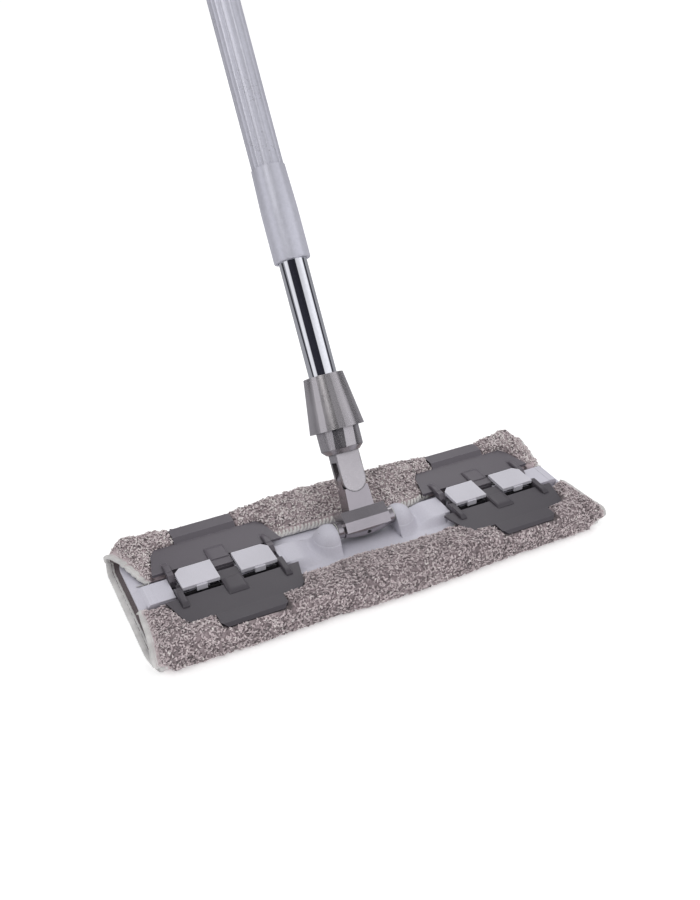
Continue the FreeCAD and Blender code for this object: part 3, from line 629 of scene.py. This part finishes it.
def finish_outside(grid):
    """The pile side roughened and pressed down under the wings, and each point's roughness.

    It is smooth near the ends and hems, and less rough on the sole.
    """
    normal = grid_normals(grid)
    heights = np.array([[pile_height(p) for p in row] for row in grid])
    on_sole = np.clip((4 - grid[:, :, 2]) / 3, 0, 1)
    rough = smooth_step((distance_from_ends(grid) - 3) / 5)
    column = np.arange(COLUMNS)
    rough = rough * np.clip(np.minimum(column, COLUMNS - 1 - column) / 4, 0, 1)[None]
    heights = heights * (1 - 0.6 * on_sole) * rough
    made = grid + normal * heights[:, :, None]
    x, y, z = np.moveaxis(made, 2, 0)
    limited = np.minimum(z, wing_ceiling(x, y) + np.minimum(heights * 0.15, 0))
    made[:, :, 2] = np.maximum(np.where(z > FLAP_LOW, limited, z), 0.15)
    return made, heights


# the backing's tone, dark as painted shade in the slots where the backing shows
BACKING_SHADE_TONE = 0.04


def closed_sheet(name, outside, inside, tone, material):
    """One closed mesh from the pile side and the backing, joined round all four edges."""
    points = np.concatenate([outside.reshape(-1, 3), inside.reshape(-1, 3)]) * MM
    piece = make_piece(name, points, slab_faces(ROWS, COLUMNS).tolist(), material)
    give_tone(piece, np.concatenate([tone.ravel(), np.full(tone.size, BACKING_SHADE_TONE)]))
    return piece


def give_tone(piece, values):
    """How light each point of the pile is, from 0 to 1, for the pile's material."""
    mark = piece.data.attributes.new("tone", "FLOAT", "POINT")
    mark.data.foreach_set("value", np.asarray(values, np.float32))


LOOP_POINTS = 11


def loop_pattern():
    """Faces of one loop: three rings of three points between a pointed start and end."""
    last = LOOP_POINTS - 1
    faces = [(0, 2, 1), (0, 3, 2), (0, 1, 3)]
    faces += [(last, 7, 8), (last, 8, 9), (last, 9, 7)]
    for ring in (1, 4):
        for k in range(3):
            a, b = ring + k, ring + (k + 1) % 3
            faces += [(a, b, b + 3), (a, b + 3, a + 3)]
    return np.array(faces)


def loops_on(name, outside, heights, pale, keep, area_each, light, seed, material):
    """Short twisted loops that stand on the part of the pile side that keep marks.

    area_each is the cloth, in square mm, that one loop covers, and light its usual tone.
    """
    chance = np.random.default_rng(seed)
    corner = outside[:-1, :-1]
    u_edge = outside[1:, :-1] - corner
    v_edge = outside[:-1, 1:] - corner
    normal = np.cross(v_edge, u_edge)
    area = np.linalg.norm(normal, axis=2)
    normal /= area[:, :, None] + 1e-9
    if normal[ROWS // 2, COLUMNS // 2, 2] > 0:
        normal = -normal
    wanted = np.where(keep[:-1, :-1], area / area_each, 0).ravel()
    total = int(wanted.sum())
    chosen = chance.choice(len(wanted), size=total, p=wanted / wanted.sum())
    a, b = chance.random(total), chance.random(total)
    base = (corner.reshape(-1, 3)[chosen] + u_edge.reshape(-1, 3)[chosen] * a[:, None]
            + v_edge.reshape(-1, 3)[chosen] * b[:, None])
    up = normal.reshape(-1, 3)[chosen]
    side = u_edge.reshape(-1, 3)[chosen]
    side /= np.linalg.norm(side, axis=1, keepdims=True) + 1e-9
    other = np.cross(up, side)
    spin = chance.random(total) * 2 * math.pi
    tilt = chance.normal(0, 0.5, total)
    flat = side * np.cos(spin)[:, None] + other * np.sin(spin)[:, None]
    heading = flat * np.cos(tilt)[:, None] + up * np.sin(tilt)[:, None]
    length = chance.uniform(1.2, 2.2, total)[:, None]
    thick = chance.uniform(0.55, 0.85, total)[:, None]
    bend = chance.normal(0, 0.9, total)[:, None]
    cross = np.cross(heading, up)
    cross /= np.linalg.norm(cross, axis=1, keepdims=True) + 1e-9
    lift = np.cross(cross, heading)
    centre = base + up * 0.3

    def spine_at(t):
        return centre + heading * length * t + lift * 0.9 * (0.6 - t * t) + cross * bend * t * t

    rows = [spine_at(-1.0)]
    for t in (-0.55, 0.0, 0.55):
        for turned in (0.5, 2.594, 4.689):
            out = cross * math.cos(turned) + lift * math.sin(turned)
            rows.append(spine_at(t) + thick * out)
    rows.append(spine_at(1.0))
    points = np.stack(rows, 1)
    points[:, :, 2] = np.maximum(points[:, :, 2], FLOOR_GAP)
    first = np.arange(total)[:, None] * LOOP_POINTS
    faces = (first[:, None] + loop_pattern()[None]).reshape(-1, 3)
    piece = make_piece(name, points.reshape(-1, 3) * MM, faces.tolist(), material)
    # painted shade: taller pile gives lighter loops, lower pile darker ones
    shade = heights[:-1, :-1].ravel()[chosen]
    tone = np.clip(chance.normal(light, 0.16, total) + 0.12 * shade, 0, 1)
    tone = np.where(chance.random(total) < 0.1, chance.uniform(0, 0.22, total), tone)
    tone = tone + (0.85 - tone) * pale[:-1, :-1].ravel()[chosen]
    give_tone(piece, np.repeat(tone, LOOP_POINTS))
    return piece


def end_tape(name, outside, inside, rows, gathers, material):
    """Tape folded over one short end of the cloth, from flap edge to flap edge.

    rows are the cloth's rows nearest the end, under the tape's middle and further in.
    gathers, from 0 to 1, puckers the tape on the rear flap.
    """
    near, held, far = rows
    middle = (outside[held] + inside[held]) / 2
    across = outside[held] - inside[held]
    half = np.linalg.norm(across, axis=1, keepdims=True) / 2
    across = across / (2 * half + 1e-9)
    outward = outside[near] + inside[near] - outside[far] - inside[far]
    outward /= np.linalg.norm(outward, axis=1, keepdims=True) + 1e-9
    fold = np.array([[noise.noise(Vector((p[1] / 3.6, p[2] / 6, 3.0)))] for p in middle])
    gathered = gathers * (np.clip((middle[:, 2:] - 13) / 2, 0, 1)
                          * np.clip((60 - middle[:, 1:2]) / 12, 0, 1) * (middle[:, 1:2] > 0))
    turn = np.linspace(0, 2 * math.pi, 28, endpoint=False)
    cos = np.sign(np.cos(turn)) * np.abs(np.cos(turn)) ** 0.75
    sin = np.sign(np.sin(turn)) * np.abs(np.sin(turn)) ** 0.6
    tape_seam_and_gap_shade = 1 - 0.35 * np.exp(-((cos + 0.35) / 0.16) ** 2)
    reach = half + 0.5 + 0.3 * fold + gathered * (0.4 + 1.6 * fold)
    width = 2.6 + 0.9 * (middle[:, 2:] < 8) + 0.3 * fold + gathered * 0.8 * fold
    rings = (middle[:, None] + outward[:, None] * (width * cos[None])[:, :, None]
             + across[:, None] * (reach * (sin * tape_seam_and_gap_shade)[None])[:, :, None])
    rings[:, :, 2] = np.maximum(rings[:, :, 2], 0.1)
    points, faces = ring_faces(rings * MM)
    return make_piece(name, points, faces, material)


def hem_cord(name, outside, column, radius, lift, material):
    """A bound hem along one flap's inner edge, between the clamps."""
    line = outside[:, column].copy()
    line = line[np.abs(line[:, 0]) < HEM_END]
    line[:, 2] += lift
    radii = radius * (1 + 0.15 * slow_noise(line[:, 0], 5.5, 5.0))
    points, faces = tube_along(line * MM, radii * MM, sides=10)
    return make_piece(name, points, faces, material)


def overlock(name, outside, pitch, material):
    """Thread wrapped over the rear flap's inner edge, one turn after another."""
    edge = outside[:, -1]
    parts = []
    for k in range(int(2 * HEM_END / pitch)):
        x = pitch * (k + 0.5) - HEM_END
        row = int(np.argmin(np.abs(edge[:, 0] - x)))
        wander = math.sin(k * 2.4)
        section = outside[row, -1:-6:-1].copy()
        section[:, 0] += x - edge[row, 0] + np.linspace(-0.6, 1.1 + 0.4 * wander, len(section))
        path = section + np.array([0, -0.6, 0.9]) * np.linspace(0.6, 0.9, len(section))[:, None]
        thick = (1.2 + 0.1 * wander) * np.array([0.8, 1.1, 1.2, 1.0, 0.7])
        parts.append(tube_along(path * MM, thick * MM, sides=9))
    points, faces = join_parts(parts)
    return make_piece(name, points, faces, material)


def thread_tails(name, outside, material):
    """Loose thread ends at the inner corners of the flaps: four on the right, one on the left."""
    parts = []
    share = np.linspace(0, 1, 9)
    for k, (row, column) in enumerate(((-4, 2), (-4, 3), (-3, -2), (-4, -3), (2, -3))):
        outward = 1 if row < 0 else -1
        lean_to = np.array((1, 0.35 * math.sin(2.1 * k), 0.25)) * outward
        curl = np.stack([0.9 * np.sin(5 * share + k), 1.2 * np.sin(4 * share + 2 * k),
                         1.5 * np.sin(3 * share)], 1)
        path = outside[row, column] + 3.2 * np.outer(share, lean_to) + curl
        parts.append(tube_along(path * MM, np.full(len(share), 0.45 * MM), sides=7))
    points, faces = join_parts(parts)
    return make_piece(name, points, faces, material)


def distance_from_ends(grid):
    """How far along the head each point lies from the nearer end of its own column."""
    x = grid[:, :, 0]
    return np.minimum(x - x[:1], x[-1:] - x)


def loops_allowed(outside, from_end):
    """Where loops may stand: not under a wing, and not under a tape or on a hem."""
    x, y, z = np.moveaxis(outside, 2, 0)
    free = (beyond_wings(x, y) > 1.3) | (z < FLAP_LOW)
    furry_end = (x > 150) & (y > 22) & (z > 9)
    clear_of_edge = (from_end > np.where(z > 9, 3.4, TAPE)) | furry_end
    clear_of_edge[:, :4] = clear_of_edge[:, -6:] = False
    return free, clear_of_edge


def make_cloth():
    """The folded sheet with its loops, and its tapes, hems and threads."""
    pile = pile_material("microfibre_pile")
    tape = tape_material("binding_tape", linear(222, 220, 219), 700.0, 0.1)
    thread = tape_material("overlock_thread", linear(242, 239, 236), 1600.0, 0.2)
    outside, heights = finish_outside(cloth_grid(outside_of, taped_outside))
    inside = cloth_grid(inside_of, taped_inside)
    x, y, z = np.moveaxis(outside, 2, 0)
    from_end = distance_from_ends(outside)
    column = np.arange(COLUMNS)
    from_hem = np.minimum(column, COLUMNS - 1 - column)[None]
    front = y < 0
    free, clear_of_edge = loops_allowed(outside, from_end)
    pale = np.maximum(0.85 * (1 - smooth_step((from_end - 3) / 6)),
                      0.45 * (1 - smooth_step((from_hem - 3) / 4)))
    # painted light: higher pile is lighter and its hollows darker, and the front flap's pile is
    # painted darker than the rear's
    tone = np.clip(np.where(front, 0.26, 0.36) + 0.12 * heights, 0, 1)
    tone = tone + (0.75 - tone) * pale
    # painted shade: a dark outline on the pile round the wings' plates, where the gaps beside the
    # wings are in shade
    tape_seam_and_gap_shade = (np.abs(beyond_wings(x, y)) < 1.6) & (z > FLAP_LOW)
    tone = np.where(tape_seam_and_gap_shade, 0, tone)
    sheet = closed_sheet("cloth_sheet", outside, inside, tone, pile)
    above = (z > SOLE_TOP) & free & clear_of_edge
    under = (z <= SOLE_TOP) & clear_of_edge
    parts = [
        # painted light: the rear loops get a lighter usual tone than the front ones, on one cloth
        loops_on("cloth_loops_front", outside, heights, pale, above & front, 3.3, 0.65, 11, pile),
        loops_on("cloth_loops_rear", outside, heights, pale, above & ~front, 3.3, 0.84, 12, pile),
        loops_on("cloth_loops_sole", outside, heights, pale, under, 5.5, 0.7, 13, pile),
        end_tape("cloth_tape_left", outside, inside, (0, 1, 3), 1.0, tape),
        end_tape("cloth_tape_right", outside, inside, (-1, -2, -4), 0.0, tape),
        hem_cord("cloth_hem_front", outside, 1, radius=1.2, lift=0.7, material=tape),
        hem_cord("cloth_hem_rear", outside, -2, radius=1.1, lift=0.1, material=tape),
        overlock("cloth_overlock", outside, 3.6, thread),
        thread_tails("cloth_thread_tails", outside, thread),
    ]
    for piece in [sheet] + parts:
        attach(piece, "head")
    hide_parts("mop_cloth")


# ---------------------------------------------------------------- plate and handle

def field_mesh(heights, x, y, floor):
    """Points and faces of a block: heights over every x and y, down to a flat floor."""
    across, along_y = np.meshgrid(x, y, indexing="ij")
    top = np.stack([across, along_y, heights], 2).reshape(-1, 3)
    low = np.stack([across, along_y, np.full_like(heights, floor)], 2).reshape(-1, 3)
    faces = slab_faces(*heights.shape)
    if (x[1] < x[0]) != (y[1] < y[0]):
        faces = faces[:, ::-1]
    return np.concatenate([top, low]) * MM, faces.tolist()


RIB_FOOT = 22.6
RIB_START, MIDDLE_RIB_END = 13.6, 32.2
RIB_TIP = 6.7
# each rib's place along its pair, half width and top
RIBS = ((-44, 2.9, 25.75), (0, 8.9, 25.0), (44, 2.9, 25.75))


def make_ribs():
    """Rounded, blunt-ended ribs over the arms of the clamp wings."""
    u = np.linspace(-1, 1, 25)
    flank = 1 - np.abs(u) ** 8
    for end, way in SIDES:
        for row, toward, outer_rib_end in (("front", -1, 31.6), ("rear", 1, 27.0)):
            parts = []
            for off, half, top in RIBS:
                out = np.linspace(RIB_START, outer_rib_end if off else MIDDLE_RIB_END, 48)
                tip = 1 - np.clip((out - out[-1]) / RIB_TIP + 1, 0, 1) ** 2.5
                heights = RIB_FOOT + (top - RIB_FOOT) * np.sqrt(np.outer(flank, tip))
                x = way * PAIR_AT + off + half * u
                parts.append(field_mesh(heights, x, toward * out, RIB_FOOT - 0.3))
            points, faces = join_parts(parts)
            piece = make_piece(f"arm_ribs_{end}_{row}", points, faces, wing_look(row))
            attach(piece, f"wing_{end}_{row}")


# Mouldings start just under the deck and end just over the spine. Faces that lie at the same
# height as the CAD's would come out black.
MOULDED_DECK = DECK - 0.15
MOULDED_SPINE = SPINE + 0.27


def boss_and_rise(out, across):
    """The fillet round an axle boss, and the soft rise from the deck to the spine."""
    round_boss = np.hypot((out - 34) / 15, across / 16)
    fillet = 9.6 * (1 - np.clip((round_boss - 0.9) / 0.5, 0, 1)) ** 2.2
    rise = MOULDED_SPINE * smooth_step((out - 40) / 26) - 0.7 * smooth_step((out - 76.5) / 4)
    flank_width = 8 * (1 - 0.9 * smooth_step((out - 73) / 7))
    flank = 1 - smooth_step((np.abs(across) - 11.8) / flank_width)
    edges = smooth_step((21.5 - np.abs(across)) / 3)
    return np.hypot(fillet, rise * flank) * edges


def end_ramp(out, across):
    """The fall from the spine's outer end to the end of the deck, with a soft rear flank."""
    rise = MOULDED_SPINE * smooth_step((203.8 - out) / 10)
    flank = 1 - smooth_step((across - 11.5) / 8.5)
    front = 1 - smooth_step((-across - 7.5) / 4.6) * smooth_step((out - 196) / 2)
    inner = smooth_step((out - 189) / 5)
    return rise * flank * front * np.maximum(inner, across < 12)


# each kind's shape, its places outward along the head, and its places across
MOULDINGS = (
    ("deck_moulding", boss_and_rise, np.linspace(28.3, 80.5, 106), np.linspace(-21.5, 21.5, 87)),
    ("spine_ramp", end_ramp, np.linspace(190, 203.4, 40), np.linspace(-12.2, 20.5, 70)),
)


def make_mouldings():
    """The plate's soft shapes: a fillet round each axle boss, and a ramp at each end of a spine."""
    for kind, shape, x, y in MOULDINGS:
        heights = MOULDED_DECK + shape(*np.meshgrid(x, y, indexing="ij"))
        for end, side in SIDES:
            points, faces = field_mesh(heights, side * x, y, DECK - 1)
            piece = make_piece(f"{kind}_{end}", points, faces, MATERIALS["deck"])
            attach(piece, "head")


# the thin dark liner's section (|y|, z), over the spine's edge, down its flank and out on the deck;
# a dark sheet as painted shade
SHADE_LINER = ((10.8, 20.3), (12.6, 20.3), (12.66, 20.2), (12.66, 13.6), (18.2, 13.5), (18.2, 13.02),
         (12.52, 13.02), (12.52, 20.02), (10.8, 20.02))
SHADE_LINER_FROM, SHADE_LINER_TO = 9.3, 41


def make_shade_liners():
    """Dark liners in the gaps between the press pads and the wings, as painted shade."""
    for end, side in SIDES:
        parts = []
        for row in (-1, 1):
            for start, stop in ((-SHADE_LINER_TO, -SHADE_LINER_FROM), (SHADE_LINER_FROM, SHADE_LINER_TO)):
                places = np.linspace(start, stop, 9) + side * PAIR_AT
                rings = np.array([[(x, row * y, z) for y, z in SHADE_LINER] for x in places])
                parts.append(ring_faces(rings * MM))
        points, faces = join_parts(parts)
        piece = make_piece(f"clamp_shade_liner_{end}", points, faces, MATERIALS["shade_liner"], smooth=False)
        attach(piece, "head")


RIDGES = 20
RIDGE_DEPTH = 0.5
SLEEVE_WALL = 1.0


def make_sleeve():
    """The handle's outer tube, with narrow ridges that fade out at both ends."""
    low, high = (Vector(v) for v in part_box("outer_tube"))
    radius = (high.x - low.x) / 2
    length = (high.z - low.z - 2 * radius * math.sin(LEAN)) / math.cos(LEAN)
    centre = (low + high) / 2
    turn = np.linspace(0, 2 * math.pi, RIDGES * 12, endpoint=False)
    ridge = np.cos(turn * RIDGES) * 0.5 + 0.5
    places = np.concatenate([np.linspace(0, 0.1, 5), np.linspace(0.15, 0.85, 15),
                             np.linspace(0.9, 1, 7)])
    bore = np.full(len(turn), radius - SLEEVE_WALL * MM)
    sections = []
    for place in places:
        fade = min(1, place / 0.1, (1 - place) / 0.03)
        sections.append((place, radius - RIDGE_DEPTH * MM * fade * (1 - ridge ** 3)))
    sections.append((1.0, bore))
    sections += [(place, bore) for place in places[::-1]]
    rings = []
    for place, out in sections:
        middle = np.array(centre + HANDLE_AXIS * length * (place - 0.5))
        rings.append(middle + np.outer(out * np.cos(turn), (1, 0, 0))
                     + np.outer(out * np.sin(turn), HANDLE_FRONT))
    points, faces = ring_faces(np.array(rings), hollow=True)
    piece = make_piece("sleeve_fluted", points, faces, MATERIALS["sleeve"])
    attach(piece, "handle")
    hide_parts("outer_tube")


# ---------------------------------------------------------------- stage

# where the camera was for the photo, from a fit of the head and the handle
CAMERA_AT = Vector((-0.3154, -0.6059, 0.5298))
YAW, PITCH, ROLL = math.radians(26.53), math.radians(32.1), math.radians(-0.39)
SENSOR, LENS = 36, 38.824


def make_camera():
    """The camera stands in front and to the left of the head, and looks down on it."""
    forward = Vector((math.sin(YAW) * math.cos(PITCH), math.cos(YAW) * math.cos(PITCH),
                      -math.sin(PITCH)))
    level = Vector((math.cos(YAW), -math.sin(YAW), 0))
    above = level.cross(forward)
    right = level * math.cos(ROLL) + above * math.sin(ROLL)
    up = above * math.cos(ROLL) - level * math.sin(ROLL)
    data = bpy.data.cameras.new("camera")
    data.sensor_width = SENSOR
    data.lens = LENS
    camera = bpy.data.objects.new("camera", data)
    turned = Matrix((right, up, -forward)).transposed().to_4x4()
    camera.matrix_world = Matrix.Translation(CAMERA_AT) @ turned
    scene.collection.objects.link(camera)
    scene.camera = camera


FLOOR_HALF = 6


def make_floor():
    """A white floor. Glossy parts see a greyer one, which is dark on the left."""
    made, nodes, shader, where = start_material("studio_floor")
    soft = nodes.noise(where, 3.0)
    mirrored = nodes.new("ShaderNodeLightPath").outputs["Is Glossy Ray"]
    white = nodes.mix(nodes.spread(soft, 0.3, 0.7, 0, 1), (0.95, 0.95, 0.95, 1),
                      (0.97, 0.97, 0.97, 1))
    left = nodes.new("ShaderNodeSeparateXYZ", {0: where}).outputs["X"]
    reflected = nodes.mix(nodes.spread(left, -0.85, -0.7, 0, 1), (0.05, 0.05, 0.06, 1),
                          (0.36, 0.36, 0.39, 1))
    seen = nodes.mix(mirrored, white, reflected)
    nodes.tree.links.new(seen, shader.inputs["Base Color"])
    shader.inputs["Roughness"].default_value = 0.9
    shader.inputs["Specular IOR Level"].default_value = 0.0
    glow = nodes.spread(mirrored, 0, 1, 0.3, 0)
    nodes.tree.links.new(glow, shader.inputs["Emission Strength"])
    shader.inputs["Emission Color"].default_value = (1, 1, 1, 1)
    corners = [(x * FLOOR_HALF, y * FLOOR_HALF, 0) for x, y in ((-1, -1), (1, -1), (1, 1), (-1, 1))]
    floor = make_piece("floor", corners, [(0, 1, 2, 3)], made)


# brightness round the handle's axis, in degrees from +X towards the handle's front
STUDIO = ((0, 0.6), (6, 0.06), (24, 0.06), (30, 1.1), (87, 1.05), (92, 0.03), (152, 0.03),
          (158, 0.9), (183, 1.0), (189, 0.35), (203, 0.3), (290, 0.3), (359, 0.35))


def make_studio():
    """A white room for plain light, with dark panels that only glossy parts see."""
    world = bpy.data.worlds.new("studio")
    scene.world = world
    world.use_nodes = True
    world.node_tree.nodes.clear()
    nodes = Nodes(world.node_tree)
    heading = nodes.new("ShaderNodeTexCoord").outputs["Generated"]
    to_right = nodes.dot(heading, (1, 0, 0))
    to_front = nodes.dot(heading, tuple(HANDLE_FRONT))
    angle = nodes.math("ARCTAN2", to_front, to_right)
    turn = nodes.math("FRACT", nodes.math("ADD", nodes.math("DIVIDE", angle, 2 * math.pi), 1.0))
    round_handle = nodes.ramp(turn, [(degrees / 360, (bright, bright, bright * 1.05 + 0.01, 1))
                                     for degrees, bright in STUDIO])
    up = nodes.new("ShaderNodeSeparateXYZ", {0: heading}).outputs["Z"]
    ceiling = nodes.spread(up, 0.55, 0.9, 1, 0.3)
    panels = nodes.mix(1.0, round_handle, nodes.grey(ceiling), "MULTIPLY")
    glossy = nodes.new("ShaderNodeLightPath").outputs["Is Glossy Ray"]
    from_left = nodes.spread(to_right, -0.9, 0.2, 0.45, 1)
    colour = nodes.mix(glossy, nodes.grey(from_left), panels)
    seen = nodes.new("ShaderNodeLightPath").outputs["Is Camera Ray"]
    colour = nodes.mix(seen, colour, (1.2, 1.2, 1.2, 1))
    background = nodes.new("ShaderNodeBackground", {"Color": colour, "Strength": 0.9})
    output = nodes.new("ShaderNodeOutputWorld")
    world.node_tree.links.new(background.outputs[0], output.inputs[0])


# each softbox's place and size in metres, and its power in watts
SOFTBOXES = (("key_softbox", (-1.2, -0.4, 2.2), 1.4, 12),
             ("back_softbox", (0.9, 1.8, 1.8), 1.2, 6))


def make_lights():
    """Softboxes that face the middle of the head."""
    for name, place, size, power in SOFTBOXES:
        data = bpy.data.lights.new(name, "AREA")
        data.size = size
        data.energy = power
        light = bpy.data.objects.new(name, data)
        light.location = place
        light.rotation_euler = (-Vector(place)).to_track_quat("-Z", "Y").to_euler()
        scene.collection.objects.link(light)


dress_cad_nodes()
make_cloth()
make_mouldings()
make_shade_liners()
make_ribs()
make_sleeve()
make_camera()
make_floor()
make_studio()
make_lights()
scene.view_settings.view_transform = "Standard"
